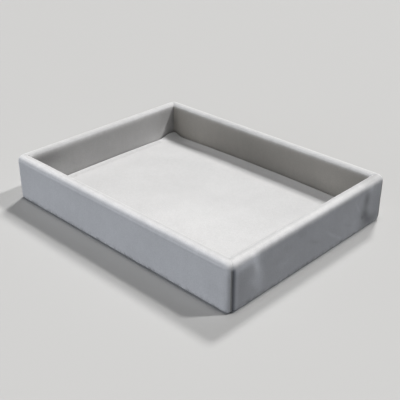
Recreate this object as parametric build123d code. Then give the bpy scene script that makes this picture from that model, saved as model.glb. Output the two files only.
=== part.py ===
# A shallow rectangular jewelry tray, open at the top. Four wooden rails stand on a thin base
# board, and short-pile velvet is glued over them: it starts under the base as a hem, runs up
# the outside, over the rounded rim and down the inside. A soft crowned pad, which is a card
# with foam and velvet over it, is the floor, and a felt sheet closes the underside.
# Millimetres. The origin is the middle of the felt's lower face: X runs along the tray, Y
# across it and Z up.
import os
from math import asin, cos, degrees, hypot, radians, sin, sqrt

from build123d import *

# Size over the cloth
length = 200.0
width = 152.0
height = 33.0

# Cloth: pile and backing together, and how far each piece turns under
velvet = 0.7
wall_hem = 10.0
pad_hem = 12.0

# Wooden frame: rails, their joints and the rounding of their edges
rail = 6.0
rebate_depth = 3.0
rim_outer_round = 3.8
rim_land = 0.2
corner_land = 0.5
base_board_thickness = 2.5
base_edge_round = 1.3

# Felt sheet under the tray, pressed thinner where it lies over the hems
felt_pressed = 0.5
felt_inset = 3.0
felt_corner = 3.0

# Floor pad, whose upright sides meet its rolled shoulders at a slight edge
pad_clearance = 0.3
pad_corner = 2.0
pad_shoulder = 1.2
pad_shoulder_edge = 0.05
pad_card_thickness = 1.0
pad_foam_at_corner = 0.85
pad_crown = 2.3

# Seams of the wall velvet: where the edges meet on the round of each corner, and the
# half-round groove that the pile leaves there
seam_angle = 30.0
seam_groove = 0.6

# T-headed brads that pin the rails to each other and the base board to the rails
brad_width = 1.2
brad_thickness = 1.0
brad_length = 15.0
brad_head_width = 2.0
brad_head_thickness = 0.5
brad_set = 0.4
corner_brad_inset = 4.0
corner_brad_height_shares = (0.3, 0.7)
long_side_brad_shares = (-0.75, -0.25, 0.25, 0.75)
short_side_brad_shares = (-0.5, 0.5)

# One overrun serves every cut
overrun = 5.0

# Levels above the surface that the tray stands on
base_bottom = felt_pressed + velvet
base_top = base_bottom + base_board_thickness
rail_top = height - velvet

# Plan sizes of the frame, of the well inside the rails and of the well inside the cloth
frame_length = length - 2 * velvet
frame_width = width - 2 * velvet
frame_corner = rim_outer_round + corner_land
rim_inner_round = rail - rim_outer_round - rim_land
bare_well_length = frame_length - 2 * rail
bare_well_width = frame_width - 2 * rail
well_length = bare_well_length - 2 * velvet
well_width = bare_well_width - 2 * velvet

# Plan size and heights of the pad, and the ball whose top is its crown
pad_length = well_length - 2 * pad_clearance
pad_width = well_width - 2 * pad_clearance
pad_card_bottom = base_top + velvet
pad_card_top = pad_card_bottom + pad_card_thickness
pad_top_at_corner = pad_card_top + pad_foam_at_corner + velvet
pad_half_diagonal = hypot(pad_length / 2, pad_width / 2)
crown_radius = (pad_half_diagonal**2 + pad_crown**2) / (2 * pad_crown)
crown_centre = pad_top_at_corner + pad_crown - crown_radius


def round_slab(size_x, size_y, corner, bottom, top):
    """An upright block on a rounded rectangle, from one level to another."""
    outline = RectangleRounded(size_x, size_y, corner)
    return Pos(0, 0, bottom) * extrude(outline, top - bottom)


def box_between(low, high):
    """A box from its lowest corner to its highest."""
    size = [b - a for a, b in zip(low, high)]
    return Pos(*low) * Box(*size, align=(Align.MIN, Align.MIN, Align.MIN))


def edges_at(solid, level):
    """The edges of a solid that lie flat at one level."""
    return solid.edges().filter_by_position(Axis.Z, level, level)


def outer_block(inset, bottom, top, top_round, bottom_round):
    """The tray's outside at some depth below the cloth's face, with no well in it."""
    corner = frame_corner + velvet - inset
    block = round_slab(length - 2 * inset, width - 2 * inset, corner, bottom, top)
    block = fillet(edges_at(block, top), top_round)
    return fillet(edges_at(block, bottom), bottom_round)


def well_section(half, lip_round, bottom, top):
    """A section of the well: two straight walls that roll outwards into the rim."""
    with BuildSketch() as half_section:
        with BuildLine():
            Polyline(
                (half, top - lip_round),
                (half, bottom),
                (0, bottom),
                (0, top + overrun),
                (half + lip_round, top + overrun),
                (half + lip_round, top),
            )
            RadiusArc((half + lip_round, top), (half, top - lip_round), lip_round)
        make_face()
    half_face = half_section.face()
    return half_face + half_face.mirror(Plane.YZ)


def well_space(size_x, size_y, lip_round, bottom, top):
    """The space inside the walls. Its section is the same along both sides, so the rim is
    mitred where two walls meet."""
    along = Plane.XZ * well_section(size_x / 2, lip_round, bottom, top)
    across = Plane.YZ * well_section(size_y / 2, lip_round, bottom, top)
    return extrude(along, width, both=True) & extrude(across, length, both=True)


# Wooden frame, cut from one block
frame_block = outer_block(velvet, base_bottom, rail_top, rim_outer_round, base_edge_round)
bare_well = well_space(bare_well_length, bare_well_width, rim_inner_round, base_top, rail_top)
half_frame_length = frame_length / 2
half_frame_width = frame_width / 2

base_board = frame_block & box_between(
    (-length, -width, base_bottom), (length, width, base_top)
)
rail_ring = frame_block - bare_well - box_between(
    (-length, -width, base_bottom - overrun), (length, width, base_top)
)

# The end rails sit in rebates at the ends of the long rails
end_rail_zone = box_between(
    (half_frame_length - rail, rebate_depth - half_frame_width, base_top),
    (length, half_frame_width - rebate_depth, height),
)
right_rail = rail_ring & end_rail_zone
left_rail = rail_ring & end_rail_zone.mirror(Plane.YZ)
long_rails = rail_ring - right_rail - left_rail
front_rail = long_rails & box_between((-length, -width, base_top), (length, 0, height))
back_rail = long_rails & box_between((-length, 0, base_top), (length, width, height))


# Brads
def brad():
    """A brad of rectangular wire along Z, its end upwards and its head at the origin."""
    upwards = (Align.CENTER, Align.CENTER, Align.MIN)
    head = Box(brad_head_width, brad_thickness, brad_head_thickness, align=upwards)
    shank = Box(brad_width, brad_thickness, brad_length, align=upwards)
    return head + shank


def brad_hole():
    """What a brad takes up, with the punched recess over its head."""
    downwards = (Align.CENTER, Align.CENTER, Align.MAX)
    recess = Box(brad_head_width, brad_thickness, brad_set + velvet, align=downwards)
    return brad() + recess


rail_height = rail_top - base_top
corner_brad_places = [
    Pos(x, side * (half_frame_width - brad_set), base_top + share * rail_height)
    * Rot(side * 90, 0, 0)
    for x in (corner_brad_inset - half_frame_length, half_frame_length - corner_brad_inset)
    for side in (-1, 1)
    for share in corner_brad_height_shares
]
base_brad_level = base_bottom + brad_set
base_brad_places = [
    Pos(share * half_frame_length, side * (half_frame_width - rail / 2), base_brad_level)
    for share in long_side_brad_shares
    for side in (-1, 1)
] + [
    Pos(side * (half_frame_length - rail / 2), share * half_frame_width, base_brad_level)
    for share in short_side_brad_shares
    for side in (-1, 1)
]
corner_brads = [place * brad() for place in corner_brad_places]
base_brads = [place * brad() for place in base_brad_places]
brad_holes = [place * brad_hole() for place in corner_brad_places + base_brad_places]

front_rail = front_rail - brad_holes
back_rail = back_rail - brad_holes
left_rail = left_rail - brad_holes
right_rail = right_rail - brad_holes
base_board = base_board - brad_holes

# Wall velvet, first as one skin: hem, outside, rim and inside
skin_block = outer_block(
    0, felt_pressed, height, rim_outer_round + velvet, base_edge_round + velvet
)
cloth_well = well_space(well_length, well_width, rim_inner_round + velvet, base_top, height)
hem_opening = box_between(
    (wall_hem - length / 2, wall_hem - width / 2, 0),
    (length / 2 - wall_hem, width / 2 - wall_hem, base_bottom),
)
wall_skin = skin_block - cloth_well - (frame_block - bare_well) - hem_opening

# The seam at the front right corner, in plan: it runs from the corner of the well to a
# point on the round of the outer corner, a little past the corner's middle
cloth_corner = frame_corner + velvet
round_centre_x = length / 2 - cloth_corner
round_centre_y = cloth_corner - width / 2
seam_x = round_centre_x + cloth_corner * cos(radians(seam_angle))
seam_y = round_centre_y - cloth_corner * sin(radians(seam_angle))
seam_run_x = seam_x - well_length / 2
seam_run_y = seam_y + well_width / 2

# The cut along it is drawn longer than the seam at both ends, by whole runs of the seam
inner_runs = 2
outer_runs = 3
inner_seam = (
    well_length / 2 - inner_runs * seam_run_x,
    -well_width / 2 - inner_runs * seam_run_y,
)
outer_seam = (
    well_length / 2 + outer_runs * seam_run_x,
    -well_width / 2 + outer_runs * seam_run_y,
)
front_outline = Polygon(
    inner_seam,
    (-inner_seam[0], inner_seam[1]),
    (-outer_seam[0], outer_seam[1]),
    outer_seam,
    align=None,
)
front_zone = extrude(front_outline, height + overrun)

# The pile rolls away from each seam on the outside, from the hem to the shoulder of the rim
groove_top = height - rim_outer_round - velvet
seam_grooves = [
    Pos(side_x * seam_x, side_y * seam_y, 0)
    * Cylinder(seam_groove, groove_top, align=(Align.CENTER, Align.CENTER, Align.MIN))
    for side_x in (-1, 1)
    for side_y in (-1, 1)
]
front_velvet = (wall_skin & front_zone) - seam_grooves
back_velvet = front_velvet.mirror(Plane.XZ)
end_skins = wall_skin - front_zone - front_zone.mirror(Plane.XZ) - seam_grooves
right_velvet = end_skins & box_between((0, -width, 0), (length, width, height))
left_velvet = right_velvet.mirror(Plane.YZ)


# Floor pad
def crowned_bar(half, inset, bottom):
    """A bar of the pad's section, bent along X to the crown. Its section in the plane of Y
    and Z has upright sides, and its shoulders roll into the crown's arc. It is a little
    wider than the pad, whose sides then meet the shoulders at a slight edge."""
    top_radius = crown_radius - inset
    shoulder = pad_shoulder - inset
    side_y = half - inset + pad_shoulder_edge
    # The middle of the shoulder's round lies on an arc about the crown's middle
    round_y = side_y - shoulder
    reach = top_radius - shoulder
    round_z = crown_centre + sqrt(reach**2 - round_y**2)
    blend_share = top_radius / reach
    blend_y = round_y * blend_share
    blend_z = crown_centre + (round_z - crown_centre) * blend_share
    crown_z = crown_centre + top_radius
    with BuildSketch(Plane.YZ) as section:
        with BuildLine():
            Polyline((-side_y, round_z), (-side_y, bottom), (side_y, bottom), (side_y, round_z))
            RadiusArc((side_y, round_z), (blend_y, blend_z), shoulder)
            ThreePointArc((blend_y, blend_z), (0, crown_z), (-blend_y, blend_z))
            RadiusArc((-blend_y, blend_z), (-side_y, round_z), shoulder)
        make_face()
    bend = degrees(asin(length / 2 / crown_radius))
    bend_axis = Axis((0, 0, crown_centre), (0, 1, 0))
    start = section.sketch.rotate(bend_axis, -bend)
    return revolve(start, bend_axis, 2 * bend)


def crowned_slab(inset, bottom):
    """The pad's shape at some depth below its face: a slab with a domed top and rounded
    shoulders. Two crossed bars of one crown give a dome that both their shoulders follow."""
    along = crowned_bar(pad_width / 2, inset, bottom)
    across = crowned_bar(pad_length / 2, inset, bottom).rotate(Axis.Z, 90)
    outline = round_slab(
        pad_length - 2 * inset, pad_width - 2 * inset, pad_corner - inset, bottom, height
    )
    return outline & along & across


pad_outside = crowned_slab(0, base_top)
pad_filling = crowned_slab(velvet, pad_card_bottom)
card_zone = box_between((-length, -width, base_top), (length, width, pad_card_top))
pad_card = pad_filling & card_zone
pad_foam = pad_filling - card_zone
pad_hem_opening = round_slab(
    pad_length - 2 * pad_hem, pad_width - 2 * pad_hem, pad_corner, base_top, pad_card_bottom
)
pad_velvet = pad_outside - pad_filling - pad_hem_opening

# Felt sheet, which steps up inside the hems and is full thickness against the base board
felt_sheet = round_slab(
    length - 2 * felt_inset, width - 2 * felt_inset, felt_corner, 0, felt_pressed
)
base_felt = felt_sheet + hem_opening

# One file for each piece, and one for each set of like brads
pieces = {
    "front_rail": front_rail,
    "back_rail": back_rail,
    "left_rail": left_rail,
    "right_rail": right_rail,
    "base_board": base_board,
    "corner_brads": Compound(children=corner_brads),
    "base_brads": Compound(children=base_brads),
    "front_velvet": front_velvet,
    "back_velvet": back_velvet,
    "left_velvet": left_velvet,
    "right_velvet": right_velvet,
    "pad_card": pad_card,
    "pad_foam": pad_foam,
    "pad_velvet": pad_velvet,
    "base_felt": base_felt,
}
os.makedirs("parts", exist_ok=True)
for name, piece in pieces.items():
    export_step(piece, f"parts/{name}.step")
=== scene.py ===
import math

import bmesh
import bpy
from mathutils import Matrix, Vector, noise


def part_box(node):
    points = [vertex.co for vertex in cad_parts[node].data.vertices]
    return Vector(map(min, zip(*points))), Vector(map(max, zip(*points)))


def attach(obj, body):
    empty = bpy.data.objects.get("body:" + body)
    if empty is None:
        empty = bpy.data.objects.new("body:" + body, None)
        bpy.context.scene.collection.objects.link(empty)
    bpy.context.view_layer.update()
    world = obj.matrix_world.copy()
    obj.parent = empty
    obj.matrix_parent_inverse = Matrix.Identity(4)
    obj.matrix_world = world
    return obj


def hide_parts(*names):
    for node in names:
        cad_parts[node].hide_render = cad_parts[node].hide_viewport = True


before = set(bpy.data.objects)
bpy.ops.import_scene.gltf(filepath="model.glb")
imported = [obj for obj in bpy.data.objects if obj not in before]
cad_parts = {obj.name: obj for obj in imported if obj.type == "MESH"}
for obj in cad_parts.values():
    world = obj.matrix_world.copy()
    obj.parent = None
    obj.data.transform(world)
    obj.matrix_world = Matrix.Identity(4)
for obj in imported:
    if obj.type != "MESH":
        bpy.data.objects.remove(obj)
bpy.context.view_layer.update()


# Rails
# Four strips of 6 mm medium density fibreboard, sawn, with a routed nose along the top.
# The end rails sit in rebates in the long ones. The cloth hides them all round.
MM = 0.001


def linear(code):
    """A colour from sRGB hex, in the linear values that the renderer works in."""
    parts = [int(code[i:i + 2], 16) / 255 for i in (1, 3, 5)]
    return [c / 12.92 if c <= 0.04045 else ((c + 0.055) / 1.055) ** 2.4 for c in parts] + [1.0]


def add_node(tree, kind, inputs=None, stops=(), **settings):
    """Adds a node with its settings. An input is given a value, or another node's output, and a
    colour ramp is given the places and colours of its stops."""
    made = tree.nodes.new(kind)
    for name, value in settings.items():
        setattr(made, name, value)
    for name, value in (inputs or {}).items():
        if isinstance(value, bpy.types.NodeSocket):
            tree.links.new(value, made.inputs[name])
        else:
            made.inputs[name].default_value = value
    for i, (place, colour) in enumerate(stops):
        made.color_ramp.elements[i].position = place
        made.color_ramp.elements[i].color = linear(colour)
    return made


def new_material(name):
    """An empty node material and its tree."""
    material = bpy.data.materials.new(name)
    material.use_nodes = True
    material.node_tree.nodes.clear()
    return material, material.node_tree


def dress(obj, material):
    """Gives an object one material."""
    obj.data.materials.clear()
    obj.data.materials.append(material)


def fibreboard():
    """Fibreboard is pressed wood fibre: an even tan with fine darker flecks, and dull."""
    material, tree = new_material("medium_density_fibreboard_sawn")
    place = add_node(tree, "ShaderNodeTexCoord").outputs["Object"]
    fleck = add_node(
        tree, "ShaderNodeTexNoise", {"Vector": place, "Scale": 1 / (1.2 * MM), "Detail": 3.0}
    )
    cloud = add_node(
        tree, "ShaderNodeTexNoise", {"Vector": place, "Scale": 1 / (14 * MM), "Detail": 2.0}
    )
    shade = add_node(
        tree, "ShaderNodeMath", {0: fleck.outputs["Fac"], 1: cloud.outputs["Fac"]},
        operation="ADD",
    )
    ramp = add_node(
        tree, "ShaderNodeValToRGB", {"Fac": shade.outputs[0]},
        stops=((0.7, "#8C6C4A"), (1.0, "#BC9B73")),
    )
    bump = add_node(
        tree, "ShaderNodeBump",
        {"Height": fleck.outputs["Fac"], "Strength": 0.3, "Distance": 0.1 * MM},
    )
    shader = add_node(
        tree, "ShaderNodeBsdfPrincipled",
        {"Base Color": ramp.outputs["Color"], "Roughness": 0.75, "Normal": bump.outputs["Normal"]},
    )
    add_node(tree, "ShaderNodeOutputMaterial", {"Surface": shader.outputs["BSDF"]})
    return material


rail_finish = fibreboard()
for name in ("front_rail", "back_rail", "left_rail", "right_rail"):
    dress(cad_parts[name], rail_finish)


# Base board
# A 2.5 mm sheet of hardboard, which is fibreboard pressed dense and dark, smooth above and
# with a screen pattern below. It is pinned to the rails from underneath.
def hardboard():
    """Hardboard comes dark and cloudy from the hot press, with the screen's net of fine dents."""
    material, tree = new_material("hardboard_pressed_on_a_screen")
    place = add_node(tree, "ShaderNodeTexCoord").outputs["Object"]
    cloud = add_node(
        tree, "ShaderNodeTexNoise", {"Vector": place, "Scale": 1 / (6 * MM), "Detail": 5.0}
    )
    ramp = add_node(
        tree, "ShaderNodeValToRGB", {"Fac": cloud.outputs["Fac"]},
        stops=((0.35, "#5A3D27"), (0.7, "#80593A")),
    )
    screen = add_node(
        tree, "ShaderNodeTexVoronoi", {"Vector": place, "Scale": 1 / (1.5 * MM), "Randomness": 0.15}
    )
    bump = add_node(
        tree, "ShaderNodeBump",
        {"Height": screen.outputs["Distance"], "Strength": 0.4, "Distance": 0.15 * MM},
    )
    shader = add_node(
        tree, "ShaderNodeBsdfPrincipled",
        {"Base Color": ramp.outputs["Color"], "Roughness": 0.6, "Normal": bump.outputs["Normal"]},
    )
    add_node(tree, "ShaderNodeOutputMaterial", {"Surface": shader.outputs["BSDF"]})
    return material


dress(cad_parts["base_board"], hardboard())


# Brads
# T-headed brads of galvanised steel wire, cut and driven below the face. Eight hold the
# rails' corners and twelve the base board.
def galvanised_wire():
    """Galvanised wire has a thin zinc skin: a pale grey metal, spangled and half dull."""
    material, tree = new_material("steel_wire_galvanised")
    place = add_node(tree, "ShaderNodeTexCoord").outputs["Object"]
    spangle = add_node(
        tree, "ShaderNodeTexNoise", {"Vector": place, "Scale": 1 / (0.8 * MM), "Detail": 3.0}
    )
    ramp = add_node(
        tree, "ShaderNodeValToRGB", {"Fac": spangle.outputs["Fac"]},
        stops=((0.0, "#8A8D90"), (1.0, "#B9BCBE")),
    )
    rough = add_node(
        tree, "ShaderNodeMapRange",
        {"Value": spangle.outputs["Fac"], "To Min": 0.3, "To Max": 0.5},
    )
    shader = add_node(
        tree, "ShaderNodeBsdfPrincipled",
        {"Base Color": ramp.outputs["Color"], "Metallic": 1.0, "Roughness": rough.outputs["Result"]},
    )
    add_node(tree, "ShaderNodeOutputMaterial", {"Surface": shader.outputs["BSDF"]})
    return material


wire_finish = galvanised_wire()
for name in ("corner_brads", "base_brads"):
    dress(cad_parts[name], wire_finish)


# Wall velvet
# Four strips of pale grey short-pile polyester velvet, glued on. Each starts as a hem under
# the base, runs up the outside, over the rim and down the inside. The long strips wrap the
# corners, and the short ones butt them there: the pile parts along that seam.
cloth = 0.7 * MM
hem = 10 * MM
foot_round = 2.0 * MM
rim_outer_round = 4.5 * MM
rim_inner_round = 2.7 * MM
wall_thickness = 7.4 * MM
corner_round = 5.0 * MM
mesh_step = 1.25 * MM
corner_step = 0.6 * MM
# How near points are merged, how near a cut a point counts as on it, and how near two heights
# count as level
weld = 0.01 * MM
on_cut = 0.0001 * MM
nearly = 0.001 * MM
# How far the strips go round the outer corners, and how far from the seam their pile is rolled
long_wrap = math.radians(63)
short_wrap = math.radians(27)
long_reach = 1.25 * MM
short_reach = 2.9 * MM
# The groove that the rolled pile leaves: its depth, how far up the rim's round it ends, and the
# height in which it fades
groove = 0.6 * MM
groove_end = 0.9 * MM
groove_fade = 2.0 * MM
# How uneven the glued cloth is, how wide the waves are, and how far from a seam they die out
uneven = 0.09 * MM
uneven_spread = 16 * MM
uneven_fade = 4 * MM
hem_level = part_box("front_velvet")[0].z
rim_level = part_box("front_velvet")[1].z
inside_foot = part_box("base_board")[1].z
half_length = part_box("right_velvet")[1].x
half_width = -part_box("front_velvet")[0].y


def rounded_chain(mesh, places, rounds):
    """A chain of edges through places, its inner corners rounded to the given radii."""
    points = [mesh.verts.new(place) for place in places]
    for a, b in zip(points, points[1:]):
        mesh.edges.new((a, b))
    for point, radius in zip(points[1:-1], rounds):
        bmesh.ops.bevel(
            mesh, geom=[point], offset=radius, offset_type="OFFSET", affect="VERTICES",
            segments=8, profile=0.5, material=-1,
        )


def cut_long_edges(mesh, most):
    """Divides each edge that is longer than most, so that the mesh is even."""
    for edge in list(mesh.edges):
        pieces = math.ceil(edge.calc_length() / most)
        if pieces > 1:
            bmesh.ops.subdivide_edges(mesh, edges=[edge], cuts=pieces - 1)


def put_in_order(mesh):
    """Sorts a mesh's points, edges and faces by their places. Bevels and cuts leave them in an
    order that changes from run to run, and cloth would settle a little differently each time."""
    for parts, middle in (
        (mesh.verts, lambda point: point.co),
        (mesh.edges, lambda edge: (edge.verts[0].co + edge.verts[1].co) / 2),
        (mesh.faces, lambda face: face.calc_center_median()),
    ):
        ranked = sorted(parts, key=lambda part: [round(c / weld, 2) for c in middle(part)])
        for i, part in enumerate(ranked):
            part.index = i
        parts.sort()


def new_piece(name, mesh):
    """Turns a finished bmesh into a smooth object."""
    put_in_order(mesh)
    data = bpy.data.meshes.new(name)
    mesh.to_mesh(data)
    mesh.free()
    data.shade_smooth()
    made = bpy.data.objects.new(name, data)
    bpy.context.collection.objects.link(made)
    return made


def strip_mesh(face, half, wrap):
    """A cloth strip for the wall whose outside is the plane y = -face, half its size each
    way along X. It goes round the outer corners by the wrap angle, and its inner ends are
    mitred."""
    mesh = bmesh.new()
    outside, inside = -face, wall_thickness - face
    rounded_chain(
        mesh,
        [
            (0, outside + hem, hem_level),
            (0, outside, hem_level),
            (0, outside, rim_level),
            (0, inside, rim_level),
            (0, inside, inside_foot),
        ],
        (foot_round, rim_outer_round, rim_inner_round),
    )
    cut_long_edges(mesh, mesh_step)
    turn_y = outside + corner_round
    bmesh.ops.bisect_plane(
        mesh, geom=mesh.verts[:] + mesh.edges[:], dist=on_cut,
        plane_co=(0, turn_y, 0), plane_no=(0, 1, 0),
    )

    # Along the straight of the wall
    straight = half - corner_round
    steps = round(straight / mesh_step)
    swept = bmesh.ops.spin(
        mesh, geom=mesh.verts[:] + mesh.edges[:], cent=(0, 0, 0), axis=(0, 0, 1),
        dvec=(straight / steps, 0, 0), angle=0, steps=steps,
    )

    # Round the outer corner, for what lies outside the corner's middle
    end = swept["geom_last"]
    outer = [
        item for item in end
        if isinstance(item, bmesh.types.BMEdge)
        and all(v.co.y < turn_y + nearly for v in item.verts)
    ]
    outer_points = list(dict.fromkeys(v for edge in outer for v in edge.verts))
    bmesh.ops.spin(
        mesh, geom=outer_points + outer, cent=(straight, turn_y, 0), axis=(0, 0, 1),
        angle=wrap, steps=max(4, round(wrap * corner_round / corner_step)),
    )

    # The mitre, for what lies inside it
    inner = [
        f for f in mesh.faces
        if f.calc_center_median().y > turn_y and f.calc_center_median().x < straight
    ]
    inner_edges = list(dict.fromkeys(e for f in inner for e in f.edges))
    inner_points = list(dict.fromkeys(v for f in inner for v in f.verts))
    bmesh.ops.bisect_plane(
        mesh, geom=inner + inner_edges + inner_points, dist=on_cut,
        plane_co=(straight, turn_y, 0), plane_no=(1, 1, 0), clear_outer=True,
    )
    bmesh.ops.remove_doubles(mesh, verts=mesh.verts, dist=weld)
    bmesh.ops.mirror(
        mesh, geom=mesh.verts[:] + mesh.edges[:] + mesh.faces[:], axis="X", merge_dist=weld,
    )
    bmesh.ops.recalc_face_normals(mesh, faces=mesh.faces)
    wall_face = min(mesh.faces, key=lambda f: f.calc_center_median().y)
    if wall_face.normal.y > 0:
        bmesh.ops.reverse_faces(mesh, faces=mesh.faces)
    return mesh


def seam_gap(place, face, half, wrap):
    """How far a point of a strip lies from the strip's end."""
    x, y = abs(place.x), place.y
    turn = Vector((half - corner_round, corner_round - face))
    from_turn = Vector((x, y)) - turn
    if y >= turn.y + nearly:
        return max(0.0, -(from_turn.x + from_turn.y))
    if from_turn.x <= 0:
        return wrap * from_turn.length - from_turn.x
    angle = math.atan2(from_turn.x, -from_turn.y)
    return max(0.0, (wrap - angle) * from_turn.length)


def ease(value):
    """A smooth step from 0 to 1."""
    value = max(0.0, min(1.0, value))
    return value * value * (3 - 2 * value)


def lay_seams(mesh, face, half, wrap, reach, pile):
    """Rolls the pile down along the strip's outer ends, into a groove that fades out at the
    rim's shoulder. The layer keeps the share of the cloth's thickness that is left."""
    groove_top = rim_level - rim_outer_round + groove_end
    corner_line = corner_round - face
    for v in mesh.verts:
        v[pile] = 1.0
        if v.co.y > corner_line - nearly or v.co.z > groove_top:
            continue
        gap = seam_gap(v.co, face, half, wrap)
        roll = ease(1 - gap / reach)
        depth = groove * roll * ease((groove_top - v.co.z) / groove_fade)
        v.co -= v.normal * depth
        v[pile] = 1 - depth / cloth


def soften(mesh, face, half, wrap):
    """Moves each point along its normal by broad and finer waves, as cloth over board is never
    flat. The moves die out towards the seams, so that the strips stay joined."""
    moves = []
    for v in mesh.verts:
        wave = noise.noise(v.co / uneven_spread) + 0.5 * noise.noise(v.co * 2.3 / uneven_spread)
        wave *= ease(seam_gap(v.co, face, half, wrap) / uneven_fade)
        moves.append((v, v.normal * wave * uneven))
    for v, move in moves:
        v.co += move


def velvet():
    """Pale grey polyester velvet, woven and cut to a pile of about half a millimetre. The
    pile is dull, lights up at a glancing angle, and shades in soft patches where it leans."""
    material, tree = new_material("polyester_velvet_short_cut_pile")
    place = add_node(tree, "ShaderNodeTexCoord").outputs["Object"]
    lean = add_node(
        tree, "ShaderNodeTexNoise",
        {"Vector": place, "Scale": 1 / (22 * MM), "Detail": 3.0, "Roughness": 0.55},
    )
    stretch = add_node(tree, "ShaderNodeMapping", {"Vector": place, "Scale": (1.0, 1.0, 0.35)})
    streak = add_node(
        tree, "ShaderNodeTexNoise",
        {"Vector": stretch.outputs["Vector"], "Scale": 1 / (3.2 * MM), "Detail": 3.0},
    )
    # Real fibres are finer than the render can show, so the speckle is drawn at 0.6 mm
    speckle = add_node(
        tree, "ShaderNodeTexNoise", {"Vector": place, "Scale": 1 / (0.6 * MM), "Detail": 4.0}
    )
    # The mesh says where the pile is light or dark, with painted light and shade as well as brushed
    # and rubbed pile, and the patterns vary that a little
    shade = add_node(tree, "ShaderNodeAttribute", attribute_name="nap_and_painted_light").outputs["Fac"]
    for pattern, dark, light in ((lean, 0.965, 1.03), (streak, 0.985, 1.015), (speckle, 0.93, 1.07)):
        tone = add_node(
            tree, "ShaderNodeMapRange",
            {
                "Value": pattern.outputs["Fac"], "From Min": 0.3, "From Max": 0.7,
                "To Min": dark, "To Max": light,
            },
        )
        shade = add_node(
            tree, "ShaderNodeMath", {0: shade, 1: tone.outputs["Result"]}, operation="MULTIPLY"
        ).outputs[0]
    # Painted warmth of the light on the cloth
    warmth = add_node(tree, "ShaderNodeAttribute", attribute_name="painted_warmth")
    red = add_node(
        tree, "ShaderNodeMath", {0: warmth.outputs["Fac"], 1: 0.5, 2: 1.0}, operation="MULTIPLY_ADD"
    )
    blue = add_node(tree, "ShaderNodeMath", {0: 1.0, 1: warmth.outputs["Fac"]}, operation="SUBTRACT")
    tint = add_node(
        tree, "ShaderNodeCombineXYZ", {"X": red.outputs[0], "Y": 1.0, "Z": blue.outputs[0]}
    )
    dye = add_node(
        tree, "ShaderNodeVectorMath", {0: linear("#C1C1C2")[:3], 1: tint.outputs[0]},
        operation="MULTIPLY",
    )
    colour = add_node(
        tree, "ShaderNodeVectorMath", {0: dye.outputs["Vector"], "Scale": shade},
        operation="SCALE",
    )
    bump = add_node(
        tree, "ShaderNodeBump",
        {"Height": speckle.outputs["Fac"], "Strength": 0.4, "Distance": 0.15 * MM},
    )
    shader = add_node(
        tree, "ShaderNodeBsdfPrincipled",
        {
            "Base Color": colour.outputs["Vector"], "Roughness": 0.95, "IOR": 1.5,
            "Specular IOR Level": 0.1, "Sheen Weight": 0.5, "Sheen Roughness": 0.35,
            "Normal": bump.outputs["Normal"],
        },
    )
    add_node(tree, "ShaderNodeOutputMaterial", {"Surface": shader.outputs["BSDF"]})
    return material


# Painted light and shade on the pile by how steeply its face points up, in degrees: a painted
# highlight over the rim's round, and painted shade on the inside.
outside_painted_tones = ((0, 1.0), (18, 0.95), (30, 1.22), (47, 1.5), (68, 1.4), (90, 1.04))
inside_painted_tones = ((0, 0.76), (12, 1.08), (30, 1.36), (60, 1.12), (90, 1.03))
# How unevenly the rim is rubbed, as a share of its tone, and how wide the rubbed spots are
rub = 0.06
rub_spread = 3.5 * MM
# Painted light: how much lighter the inside gets from the rim to its foot, as from the floor's bounce
painted_foot_light = 0.26
# Painted light: how much lighter it is right under the rim's inner round, and how far from there
painted_lip_light = 0.28
lip_reach = 1.4 * MM
# Painted shade: how much darker the outside is at its foot, next to what it stands on, broken by
# paler specks; how far up, and how wide the specks are
painted_foot_shade = 0.2
foot_reach = 5.0 * MM
foot_speck_spread = 1.6 * MM
# Painted shade in a seam's groove: what is left of the light where the pile is rolled right down
groove_painted_light = 0.25


def painted_slope_tone(normal):
    """The painted light and shade of a strip's pile by its slope, for a wall whose outside is towards
    -Y.
    """
    tones = inside_painted_tones if normal.y > 0 else outside_painted_tones
    steep = math.degrees(math.asin(max(-1.0, min(1.0, normal.z))))
    if steep <= 0:
        return tones[0][1]
    for (low, before), (high, after) in zip(tones, tones[1:]):
        if steep <= high:
            return before + (after - before) * (steep - low) / (high - low)
    return tones[-1][1]


def nap_and_light_marks(mesh, shade, marks):
    """Shades the pile where it was brushed, and paints light and shade on it. A mark is a soft
    patch or slanting stroke: its place and its reach each way in millimetres, how much lighter or
    darker it is, and its slant, which is how far along Y it moves for each step up."""
    for v in mesh.verts:
        value = 1.0
        for place, size, strength, slant in marks:
            away = v.co / MM - Vector(place)
            away.y -= slant * away.z
            away = Vector((away.x / size[0], away.y / size[1], away.z / size[2]))
            value += strength * math.exp(-away.length_squared)
        v[shade] *= value


velvet_finish = velvet()
# The width that a strip is cut to: hem, outside, top and inside, less what the rounds save
flat_across = hem + rim_level - hem_level + wall_thickness + rim_level - inside_foot
flat_across -= (2 - math.pi / 2) * (foot_round + rim_outer_round + rim_inner_round)
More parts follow.
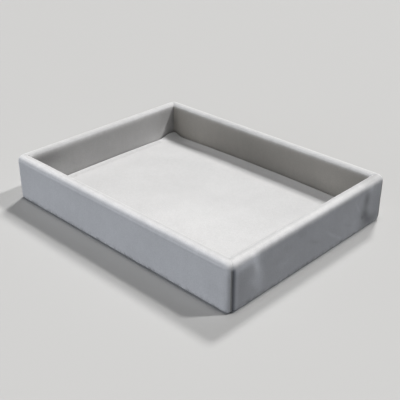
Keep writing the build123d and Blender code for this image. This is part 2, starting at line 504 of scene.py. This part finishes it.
# Brushed, rubbed and creased places on each strip, and painted light and shade. The ones that
# reach 200 mm or more are along a rim, as painted highlights or painted shade on its round.
front_marks = (
    ((-80, -76, 9), (14, 5, 8), 0.09, 0),
    ((-30, -76, 18), (26, 5, 12), 0.04, 0),
    ((-56, -76, 17), (4, 5, 5), 0.05, 0),
    ((88, -76, 12), (6, 5, 12), -0.06, 0),
    # Painted light down the front corner's round and at its top
    ((97.2, -75.5, 16), (1, 1.5, 13), 0.16, 0),
    ((97.8, -75.2, 27.5), (1.8, 1.5, 3), 0.25, 0),
    # Painted highlight along the rim's round
    ((0, -74.6, 31.3), (400, 1.4, 1), 0.15, 0),
)
back_marks = (
    # Lighter ends and a darker middle: partly brushed pile, partly painted light and shade
    ((-68, 68.6, 24), (20, 2.5, 8), 0.18, 0),
    ((-66, 68.6, 11), (20, 2.5, 8), 0.34, 0),
    ((-5, 68.6, 20), (32, 2.5, 13), -0.15, 0),
    ((66, 68.6, 16), (18, 2.5, 13), 0.17, 0),
    # Painted shade in the inner rear corner
    ((-92, 68.6, 18), (4.5, 2.5, 7), -0.35, 0),
    # Painted highlight along the rim's round
    ((0, 69.4, 31.7), (400, 1.3, 0.9), 0.3, 0),
)
left_marks = (
    # Lighter to the rear and darker to the front: partly brushed pile, partly painted light and shade
    ((-92.6, 62, 18), (2.5, 32, 14), 0.13, 0),
    ((-92.6, 44, 27), (2.5, 24, 5), 0.14, 0),
    ((-92.6, -50, 18), (2.5, 30, 14), -0.08, 0),
    ((-92.6, -54, 24), (2.5, 14, 6), -0.14, 0),
    ((-92.6, -62, 26), (2.5, 14, 7), -0.2, 0),
    # Painted shadow across the middle, low down
    ((-92.6, -10, 12), (2.5, 36, 7), -0.1, 0),
    # Painted shade in the inner rear corner
    ((-92.6, 68, 20), (2.5, 2, 6), -0.25, 0),
    # Painted light near the foot, as thrown back from the floor pad
    ((-92.6, 47, 9), (2.5, 11, 3.2), 0.1, 0),
    # Painted light at the foot of the rear wall's shadow, which moves its edge
    ((-92.6, 58, 11), (2.5, 2.8, 5), 0.55, 0.1),
    # Painted shade and highlight on the rim's round
    ((-93.5, 0, 31.9), (1.2, 400, 0.8), -0.14, 0),
    ((-92.6, 0, 29.6), (1.2, 400, 1.3), 0.2, 0),
)
right_marks = (
    ((100, -53.8, 23), (1.5, 3.1, 9), 0.52, -0.33),
    ((100, -54.5, 12.5), (6, 3.4, 4.5), 0.24, -0.5),
    ((100, -51, 7), (6, 3, 4), 0.08, 0),
    # Painted highlight on the shoulder near the front corner
    ((100, -63, 28.2), (1.5, 11, 2.6), 0.55, 0),
    ((100, -70.6, 14), (1.5, 1.6, 14), 0.15, 0),
    ((100, -67, 14), (6, 6, 11), -0.12, 0),
    ((100, -14, 25.5), (6, 4, 2.6), -0.09, -0.5),
    ((100, -26, 22), (6, 4, 2.4), -0.08, -0.5),
    ((100, -38, 18), (6, 5, 2.2), -0.05, -0.8),
    ((100, -30, 13), (6, 6, 2), 0.06, -0.8),
    ((100, -1, 15), (6, 1.8, 2.4), -0.17, -1.8),
    ((100, 17.5, 12), (6, 1.4, 4.2), 0.17, -1.3),
    ((100, 26, 6.5), (6, 1.6, 2.4), 0.12, -1.3),
    ((100, 31, 14), (6, 8, 8), 0.08, 0),
    ((100, 35, 11.5), (6, 1.4, 2.2), -0.12, -1.8),
    ((100, 42, 9), (6, 4.5, 5.5), 0.1, 0),
    ((100, 45.5, 19), (6, 1.3, 4.5), 0.14, -0.7),
    ((100, 54.8, 22), (6, 3.3, 6.5), -0.43, 0),
    ((100, 54.6, 11), (6, 4.4, 5), -0.5, -0.5),
    # Painted highlight on the shoulder near the rear corner
    ((100, 58.5, 28.8), (1.5, 4, 2.2), 0.35, 0),
    ((100, 51.2, 10.5), (6, 0.9, 1.6), -0.3, -0.4),
    ((100, 60.5, 5), (6, 9, 3.8), -0.4, 0),
    ((100, 69, 15), (6, 7, 12), -0.13, 0),
    # Painted shade along the rim's round, most near the rear corner
    ((98, 0, 32.5), (3.5, 200, 2.5), -0.1, 0),
    ((97.5, 64, 32.8), (5, 12, 2), -0.2, 0),
)
# Painted warmth of the light on each strip, inside and outside. Light that goes from wall to wall
# warms the inside, and the end wall is lit the coolest.
painted_warm_tones = {"front": (0, 0), "back": (0.085, 0), "left": (0.01, 0), "right": (0, -0.05)}
tint_fade = 5 * MM
# For each strip: its side, how far out its face is, half its wall's length, how far it goes
# round the corners, how far its pile is rolled there, its turn in degrees, and its marks
strips = (
    ("front", half_width, half_length, long_wrap, long_reach, 0, front_marks),
    ("back", half_width, half_length, long_wrap, long_reach, 180, back_marks),
    ("left", half_length, half_width, short_wrap, short_reach, -90, left_marks),
    ("right", half_length, half_width, short_wrap, short_reach, 90, right_marks),
)
for side, face, half, wrap, reach, turn, marks in strips:
    mesh = strip_mesh(face, half, wrap)
    pile = mesh.verts.layers.float.new("pile_height")
    shade = mesh.verts.layers.float.new("nap_and_painted_light")
    warm = mesh.verts.layers.float.new("painted_warmth")
    mesh.normal_update()
    for v in mesh.verts:
        # Painted light and shade by the face's slope, and painted warmth
        v[shade] = painted_slope_tone(v.normal)
        inwards = v.co.y > wall_thickness / 2 - face
        v[warm] = painted_warm_tones[side][0 if inwards else 1] * ease((rim_level - v.co.z) / tint_fade)
        if v.co.z > rim_level - rim_outer_round:
            v[shade] *= 1 + rub * noise.noise(v.co / rub_spread)
        # Painted shade at the outside's foot
        if v.co.y < cloth - face:
            low_down = ease((foot_reach - v.co.z) / (foot_reach - hem_level))
            v[shade] *= 1 - painted_foot_shade * low_down * (1 - 3 * noise.noise(v.co / foot_speck_spread))
        # Painted light on the inside: lighter towards its foot and right under the rim
        if v.co.y > corner_round - face and v.co.z > hem_level + cloth:
            v[shade] *= 1 + painted_foot_light * ease((rim_level - v.co.z) / (rim_level - inside_foot))
            from_round = abs(rim_level - rim_inner_round - v.co.z)
            v[shade] *= 1 + painted_lip_light * math.exp(-from_round / lip_reach)
    lay_seams(mesh, face, half, wrap, reach, pile)
    mesh.normal_update()
    soften(mesh, face, half, wrap)
    bmesh.ops.rotate(mesh, verts=mesh.verts, matrix=Matrix.Rotation(math.radians(turn), 3, "Z"))
    nap_and_light_marks(mesh, shade, marks)
    # Painted shade in the seams' grooves
    for v in mesh.verts:
        v[shade] *= groove_painted_light + (1 - groove_painted_light) * v[pile] ** 2
    strip = new_piece(f"{side}_wall_velvet", mesh)
    group = strip.vertex_groups.new(name="pile")
    for i, value in enumerate(strip.data.attributes["pile_height"].data):
        group.add([i], max(0.0, min(1.0, value.value)), "REPLACE")
    backing = strip.modifiers.new("backing", "SOLIDIFY")
    backing.thickness = cloth
    backing.offset = -1
    backing.vertex_group = "pile"
    # Where the pile is rolled right down, at least a tenth of the thickness stays
    backing.thickness_vertex_group = 0.1
    dress(strip, velvet_finish)
    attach(strip, "root")
    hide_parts(f"{side}_velvet")


# Floor pad: card
# The pad's base, a sheet of 1 mm greyboard cut to the floor. It lies flat on the hem of the
# cover, and the foam is glued on top.
def greyboard():
    """Greyboard is pulped waste paper: a dull grey with fine darker and paler flecks."""
    material, tree = new_material("greyboard_pulped")
    place = add_node(tree, "ShaderNodeTexCoord").outputs["Object"]
    fleck = add_node(
        tree, "ShaderNodeTexNoise", {"Vector": place, "Scale": 1 / (0.9 * MM), "Detail": 4.0}
    )
    ramp = add_node(
        tree, "ShaderNodeValToRGB", {"Fac": fleck.outputs["Fac"]},
        stops=((0.3, "#8E8B84"), (0.7, "#B3B0A8")),
    )
    shader = add_node(
        tree, "ShaderNodeBsdfPrincipled", {"Base Color": ramp.outputs["Color"], "Roughness": 0.85}
    )
    add_node(tree, "ShaderNodeOutputMaterial", {"Surface": shader.outputs["BSDF"]})
    return material


dress(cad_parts["pad_card"], greyboard())


# Floor pad: foam
# A sheet of soft polyurethane foam on the card, thicker in the middle, which gives the
# tray's floor its crown. Its edges are pressed round by the cover.
pad_low, pad_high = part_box("pad_velvet")
card_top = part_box("pad_card")[1].z
pad_crown = 2.3 * MM
pad_corner = 2.0 * MM
pad_shoulder = 1.2 * MM
pad_hem = 12 * MM
foam_grid = 5 * MM
foam_side = 0.3 * MM


def crown_drop(x, y):
    """How far the domed top lies below its middle."""
    return pad_crown * (x * x + y * y) / (pad_high.x**2 + pad_high.y**2)


def pad_block(inset, bottom):
    """The pad's shape at some depth below the cover's face: a domed block with rounded
    corners and rolled shoulders, before it is divided."""
    mesh = bmesh.new()
    bmesh.ops.create_cube(mesh, size=2)
    top = pad_high.z - inset
    bmesh.ops.scale(
        mesh, verts=mesh.verts,
        vec=(pad_high.x - inset, pad_high.y - inset, (top - bottom) / 2),
    )
    bmesh.ops.translate(mesh, verts=mesh.verts, vec=(0, 0, (top + bottom) / 2))
    upright = [e for e in mesh.edges if abs(e.verts[0].co.z - e.verts[1].co.z) > nearly]
    bmesh.ops.bevel(
        mesh, geom=upright, offset=pad_corner - inset, offset_type="OFFSET", affect="EDGES",
        segments=5, profile=0.5, material=-1,
    )
    rim = [e for e in mesh.edges if all(abs(v.co.z - top) < nearly for v in e.verts)]
    bmesh.ops.bevel(
        mesh, geom=rim, offset=pad_shoulder - inset, offset_type="OFFSET", affect="EDGES",
        segments=4, profile=0.5, material=-1,
    )
    return mesh


def divide(mesh, step, reach_x, reach_y):
    """Cuts a mesh by upright planes, a step apart, so that its large faces become a grid."""
    for normal, reach in (((1, 0, 0), reach_x), ((0, 1, 0), reach_y)):
        count = math.floor((reach - 0.5 * step) / step)
        for i in range(-count, count + 1):
            bmesh.ops.bisect_plane(
                mesh, geom=mesh.verts[:] + mesh.edges[:] + mesh.faces[:], dist=on_cut,
                plane_co=Vector(normal) * i * step, plane_no=normal,
            )


def crown(mesh, bottom, side):
    """Lowers the shoulders and the top to the dome, and leaves the foot of the sides, where the
    drop grows from nothing in the height that side gives."""
    for v in mesh.verts:
        share = min(1.0, (v.co.z - bottom) / side)
        v.co.z -= crown_drop(v.co.x, v.co.y) * share


def polyurethane_foam():
    """Open-cell polyurethane foam: off-white, dull, with cells under a millimetre across."""
    material, tree = new_material("polyurethane_foam_cut")
    place = add_node(tree, "ShaderNodeTexCoord").outputs["Object"]
    cells = add_node(tree, "ShaderNodeTexVoronoi", {"Vector": place, "Scale": 1 / (0.8 * MM)})
    ramp = add_node(
        tree, "ShaderNodeValToRGB", {"Fac": cells.outputs["Distance"]},
        stops=((0.0, "#D8D3C2"), (1.0, "#EFECE0")),
    )
    bump = add_node(
        tree, "ShaderNodeBump",
        {"Height": cells.outputs["Distance"], "Strength": 0.6, "Distance": 0.3 * MM},
    )
    shader = add_node(
        tree, "ShaderNodeBsdfPrincipled",
        {"Base Color": ramp.outputs["Color"], "Roughness": 0.95, "Normal": bump.outputs["Normal"]},
    )
    add_node(tree, "ShaderNodeOutputMaterial", {"Surface": shader.outputs["BSDF"]})
    return material


foam_mesh = pad_block(cloth, card_top)
divide(foam_mesh, foam_grid, pad_high.x, pad_high.y)
crown(foam_mesh, card_top, foam_side)
foam = new_piece("pad_foam_sheet", foam_mesh)
dress(foam, polyurethane_foam())
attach(foam, "root")
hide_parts("pad_foam")


# Floor pad: cover
# The same velvet, stretched over foam and card and glued in a hem underneath. It meets the
# walls in a dark joint. At its corners the spare cloth bunches and lifts a little.
cover_grid = 2.5 * MM
cover_side = 1.5 * MM
cover_mesh = pad_block(0, pad_low.z)
underside = min(cover_mesh.faces, key=lambda f: f.calc_center_median().z)
bmesh.ops.inset_region(cover_mesh, faces=[underside], thickness=pad_hem, use_even_offset=True)
inside_hem = [
    f for f in cover_mesh.faces
    if f.normal.z < -0.9 and f.calc_center_median().xy.length < MM
]
bmesh.ops.delete(cover_mesh, geom=inside_hem, context="FACES_ONLY")
divide(cover_mesh, cover_grid, pad_high.x, pad_high.y)
crown(cover_mesh, pad_low.z, cover_side)
# The cover starts lower in the middle by what it rises as it settles
rise = 1.0 * MM
for v in cover_mesh.verts:
    if v.co.z > card_top:
        share_x, share_y = v.co.x / pad_high.x, v.co.y / pad_high.y
        v.co.z -= rise * (1 - share_x**2) * (1 - share_y**2)
# Where cloth is bunched: which corner, how high it lifts, how far it draws in, how far the
# bunch reaches along X and Y, and how steep its side is. The one at the rear left is a thick
# fold.
bunches = (
    ((-1, 1), 3.0 * MM, 0.9 * MM, (7.0 * MM, 12.0 * MM), 4),
    ((1, 1), 0.8 * MM, 0.5 * MM, (5.5 * MM, 5.5 * MM), 2),
    ((-1, -1), 0.9 * MM, 0.5 * MM, (5.5 * MM, 5.5 * MM), 2),
    ((1, -1), 0.6 * MM, 0.4 * MM, (5.5 * MM, 5.5 * MM), 2),
)
for v in cover_mesh.verts:
    above = ease((v.co.z - card_top) / pad_shoulder)
    for (side_x, side_y), lift, draw, reach, steepness in bunches:
        away_x = (v.co.x - side_x * pad_high.x) / reach[0]
        away_y = (v.co.y - side_y * pad_high.y) / reach[1]
        swell = math.exp(-(math.hypot(away_x, away_y) ** steepness)) * above
        v.co.z += lift * swell
        v.co.x -= side_x * draw * swell
        v.co.y -= side_y * draw * swell
# Painted light along the left side, as far as the bunch at the rear left, which cancels the
# shadow that the left wall casts there, and painted shade towards that bunch
cover_tone = 1.03
corner_painted_shade = 0.55
corner_reach = 15 * MM
side_painted_light = 0.6
side_middle = 2 * MM
side_reach = 4 * MM
side_end = 54 * MM
# It is lighter towards the front. The other marks are painted light and painted shadow round the
# bunch and along the edge of the back wall's shadow.
cover_marks = (
    ((25, -32, 9), (60, 46, 20), 0.1, 0),
    ((-86, 52.5, 9), (5.5, 3, 20), 0.6, 0),
    ((-88, 54.8, 9), (3, 1.6, 20), 0.6, 0),
    ((-66, 54.8, 9), (17, 2.8, 20), -0.38, 0),
    ((-77, 61, 9), (6, 4, 20), -0.2, 0),
    ((-91.5, 67, 9), (4, 4, 20), -0.35, 0),
)
cover_painted_light = cover_mesh.verts.layers.float.new("nap_and_painted_light")
for v in cover_mesh.verts:
    away = (v.co.xy - Vector((-pad_high.x, pad_high.y))).length
    v[cover_painted_light] = cover_tone - corner_painted_shade * math.exp(-((away / corner_reach) ** 2))
    from_side = (v.co.x + pad_high.x - side_middle) / side_reach
    along_side = ease((side_end - v.co.y) / side_reach)
    v[cover_painted_light] *= 1 + side_painted_light * math.exp(-(from_side**2)) * along_side
nap_and_light_marks(cover_mesh, cover_painted_light, cover_marks)
cover = new_piece("pad_velvet_cover", cover_mesh)


def settle(piece, held, slack, most, frames):
    """Settles a piece as cloth under a little pressure from inside, held at some points, with
    spare cloth where slack says, and keeps the result. No point moves further than most."""
    start = [v.co.copy() for v in piece.data.vertices]
    hold = piece.vertex_groups.new(name="held")
    hold.add(held, 1.0, "REPLACE")
    spare = piece.vertex_groups.new(name="slack")
    for i, weight in slack.items():
        spare.add([i], weight, "REPLACE")
    cloth_move = piece.modifiers.new("settling", "CLOTH")
    settings = cloth_move.settings
    settings.quality = 8
    settings.mass = 0.05
    settings.tension_stiffness = settings.compression_stiffness = 20
    settings.shear_stiffness = 10
    settings.bending_stiffness = 0.3
    settings.vertex_group_mass = "held"
    settings.vertex_group_shrink = "slack"
    settings.shrink_min = 0
    settings.shrink_max = -0.08
    settings.use_pressure = True
    settings.uniform_pressure_force = 0.35
    settings.effector_weights.gravity = 0
    cloth_move.point_cache.frame_end = frames
    scene = bpy.context.scene
    for frame_number in range(1, frames + 1):
        scene.frame_set(frame_number)
    settled = piece.evaluated_get(bpy.context.evaluated_depsgraph_get())
    ends = [v.co.copy() for v in settled.data.vertices]
    piece.modifiers.remove(cloth_move)
    scene.frame_set(1)
    for v, before, after in zip(piece.data.vertices, start, ends):
        move = after - before
        v.co = before + move * min(1.0, most / max(move.length, 1e-9))


# How far up from the card the cover is held, how soon its spare cloth dies out away from the
# sides and from the corners, how far a point may move, and how many frames it settles for
held_height = 0.8 * MM
side_slack = 6 * MM
corner_slack = 9 * MM
most_move = 1.3 * MM
settling_frames = 16
held = [v.index for v in cover.data.vertices if v.co.z < card_top + held_height]
slack = {}
for v in cover.data.vertices:
    edge = max(abs(v.co.x) - pad_high.x, abs(v.co.y) - pad_high.y)
    corner = (Vector((abs(v.co.x), abs(v.co.y))) - pad_high.xy).length
    spare = 0.25 * math.exp(edge / side_slack) + math.exp(-corner / corner_slack)
    slack[v.index] = min(1.0, spare)
settle(cover, held, slack, most_move, settling_frames)
fullness = cover.modifiers.new("fullness", "SUBSURF")
fullness.levels = fullness.render_levels = 1
backing = cover.modifiers.new("backing", "SOLIDIFY")
backing.thickness = cloth
backing.offset = -1
dress(cover, velvet_finish)
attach(cover, "root")
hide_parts("pad_velvet")


# Underside felt
# One sheet of 1.2 mm needled polyester felt, glued on last. It covers the hems, where it is
# pressed thinner, and leaves a narrow rim of velvet in view.
def needled_felt():
    """Needled felt is matted fibre: charcoal, dull, with paler hairs and a slightly fuzzy face."""
    material, tree = new_material("polyester_felt_needled")
    place = add_node(tree, "ShaderNodeTexCoord").outputs["Object"]
    bend = add_node(
        tree, "ShaderNodeTexNoise", {"Vector": place, "Scale": 1 / (3 * MM), "Detail": 2.0}
    )
    curl = add_node(
        tree, "ShaderNodeVectorMath", {0: bend.outputs["Color"], "Scale": 4 * MM},
        operation="SCALE",
    )
    curled = add_node(
        tree, "ShaderNodeVectorMath", {0: place, 1: curl.outputs["Vector"]}, operation="ADD"
    )
    thin = add_node(
        tree, "ShaderNodeMapping", {"Vector": curled.outputs["Vector"], "Scale": (1.0, 0.18, 1.0)}
    )
    hair = add_node(
        tree, "ShaderNodeTexNoise",
        {"Vector": thin.outputs["Vector"], "Scale": 1 / (0.4 * MM), "Detail": 2.0},
    )
    ramp = add_node(
        tree, "ShaderNodeValToRGB", {"Fac": hair.outputs["Fac"]},
        stops=((0.35, "#4A4A4C"), (0.75, "#6E6E70")),
    )
    bump = add_node(
        tree, "ShaderNodeBump",
        {"Height": hair.outputs["Fac"], "Strength": 0.5, "Distance": 0.15 * MM},
    )
    shader = add_node(
        tree, "ShaderNodeBsdfPrincipled",
        {
            "Base Color": ramp.outputs["Color"], "Roughness": 1.0, "Specular IOR Level": 0.1,
            "Sheen Weight": 0.2, "Sheen Roughness": 0.6, "Normal": bump.outputs["Normal"],
        },
    )
    add_node(tree, "ShaderNodeOutputMaterial", {"Surface": shader.outputs["BSDF"]})
    return material


felt_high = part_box("base_felt")[1]
felt_corner = 3 * MM
felt_edge = 0.15 * MM
felt_grid = 5 * MM
felt_mesh = bmesh.new()
bmesh.ops.create_cube(felt_mesh, size=2)
bmesh.ops.scale(felt_mesh, verts=felt_mesh.verts, vec=(felt_high.x, felt_high.y, hem_level / 2))
bmesh.ops.translate(felt_mesh, verts=felt_mesh.verts, vec=(0, 0, hem_level / 2))
upright = [e for e in felt_mesh.edges if abs(e.verts[0].co.z - e.verts[1].co.z) > nearly]
bmesh.ops.bevel(
    felt_mesh, geom=upright, offset=felt_corner, offset_type="OFFSET", affect="EDGES",
    segments=6, profile=0.5, material=-1,
)
level = [e for e in felt_mesh.edges if abs(e.verts[0].co.z - e.verts[1].co.z) < nearly]
bmesh.ops.bevel(
    felt_mesh, geom=level, offset=felt_edge, offset_type="OFFSET", affect="EDGES",
    segments=2, profile=0.5, material=-1,
)
divide(felt_mesh, felt_grid, felt_high.x, felt_high.y)
# Inside the hems the sheet is thicker, up to the base board
inside_hems = Vector((half_length - hem, half_width - hem))
for normal, reach in (((1, 0, 0), inside_hems.x), ((0, 1, 0), inside_hems.y)):
    for side in (-1, 1):
        bmesh.ops.bisect_plane(
            felt_mesh, geom=felt_mesh.verts[:] + felt_mesh.edges[:] + felt_mesh.faces[:],
            dist=on_cut, plane_co=Vector(normal) * side * reach, plane_no=normal,
        )
felt_mesh.normal_update()
middle = [
    f for f in felt_mesh.faces
    if f.normal.z > 0.9
    and abs(f.calc_center_median().x) < inside_hems.x
    and abs(f.calc_center_median().y) < inside_hems.y
]
raised = bmesh.ops.extrude_face_region(felt_mesh, geom=middle)
bmesh.ops.delete(felt_mesh, geom=middle, context="FACES")
raised_points = [v for v in raised["geom"] if isinstance(v, bmesh.types.BMVert)]
bmesh.ops.translate(felt_mesh, verts=raised_points, vec=(0, 0, felt_high.z - hem_level))
bmesh.ops.recalc_face_normals(felt_mesh, faces=felt_mesh.faces)
felt = new_piece("underside_felt", felt_mesh)
felt.data.set_sharp_from_angle(angle=math.radians(40))
dress(felt, needled_felt())
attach(felt, "root")
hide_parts("base_felt")


# Floor and light
# The tray stands on a plain pale floor. A key lamp and two softboxes light it from behind and
# above, and a lit table top shines up at its outer walls from below the front edge.
bpy.ops.mesh.primitive_plane_add(size=40)
floor = bpy.context.object
floor.name = "floor"
# The glow from below stands in for the light that a table sends back up at the tray
floor.visible_diffuse = False


def floor_paint():
    """Matt emulsion, rolled on: an even pale grey without shine, which keeps the eye on the tray."""
    material, tree = new_material("floor_matt_paint")
    shader = add_node(
        tree, "ShaderNodeBsdfPrincipled", {"Base Color": linear("#BABABA"), "Roughness": 0.9}
    )
    add_node(tree, "ShaderNodeOutputMaterial", {"Surface": shader.outputs["BSDF"]})
    return material


dress(floor, floor_paint())


def lamp(name, turn, height, power, softness, colour):
    """A distant lamp that shines on the tray from a bearing and a height, in degrees. Softness
    is how wide it looks from the tray."""
    data = bpy.data.lights.new(name, "SUN")
    data.energy = power
    data.angle = math.radians(softness)
    data.color = linear(colour)[:3]
    made = bpy.data.objects.new(name, data)
    turn, height = math.radians(turn), math.radians(height)
    place = Vector(
        (math.cos(turn) * math.cos(height), math.sin(turn) * math.cos(height), math.sin(height))
    )
    made.rotation_euler = place.to_track_quat("Z", "Y").to_euler()
    bpy.context.collection.objects.link(made)


lamp("key_lamp", 50, 51.5, 0.53 * math.pi, 5, "#FFFEFC")
lamp("rear_softbox", 112, 49, 0.66 * math.pi, 9, "#FFFEFC")
lamp("top_softbox", 0, 90, 0.34 * math.pi, 14, "#FFFEFC")


def studio(turn, height, strength, backdrop):
    """A glow from below the front edge, as from a lit table top, which fades to nothing at
    right angles to its middle. What the eye sees behind the floor is an even pale backdrop."""
    world = bpy.data.worlds.new("studio")
    bpy.context.scene.world = world
    world.use_nodes = True
    tree = world.node_tree
    tree.nodes.clear()
    turn, height = math.radians(turn), math.radians(height)
    place = (math.cos(turn) * math.cos(height), math.sin(turn) * math.cos(height), math.sin(height))
    sky = add_node(tree, "ShaderNodeTexCoord").outputs["Generated"]
    facing = add_node(tree, "ShaderNodeVectorMath", {0: sky, 1: place}, operation="DOT_PRODUCT")
    lit = add_node(tree, "ShaderNodeMath", {0: facing.outputs["Value"], 1: 0.0}, operation="MAXIMUM")
    spread = add_node(tree, "ShaderNodeMath", {0: lit.outputs[0], 1: 3.0}, operation="POWER")
    glow = add_node(tree, "ShaderNodeMath", {0: spread.outputs[0], 1: strength}, operation="MULTIPLY")
    table = add_node(
        tree, "ShaderNodeBackground",
        {"Color": linear("#F2F7FF"), "Strength": glow.outputs[0]},
    )
    behind = add_node(tree, "ShaderNodeBackground", {"Color": linear(backdrop)})
    seen = add_node(
        tree, "ShaderNodeMixShader",
        {
            0: add_node(tree, "ShaderNodeLightPath").outputs["Is Camera Ray"],
            1: table.outputs[0], 2: behind.outputs[0],
        },
    )
    add_node(tree, "ShaderNodeOutputWorld", {"Surface": seen.outputs[0]})


studio(248, -37, 4.7, "#D3D4D4")


# Camera
# It stands off the front right corner and looks down on the tray at 28 degrees.
camera_place = Vector((0.31262, -0.31722, 0.24376))
camera_target = Vector((-0.00473, 0.00900, 0.0005))
camera_data = bpy.data.cameras.new("camera")
camera_data.lens = 66.05
camera_data.sensor_width = 36
camera = bpy.data.objects.new("camera", camera_data)
camera.location = camera_place
camera.rotation_euler = (camera_target - camera_place).to_track_quat("-Z", "Y").to_euler()
bpy.context.collection.objects.link(camera)
bpy.context.scene.camera = camera
bpy.context.scene.view_settings.view_transform = "Standard"
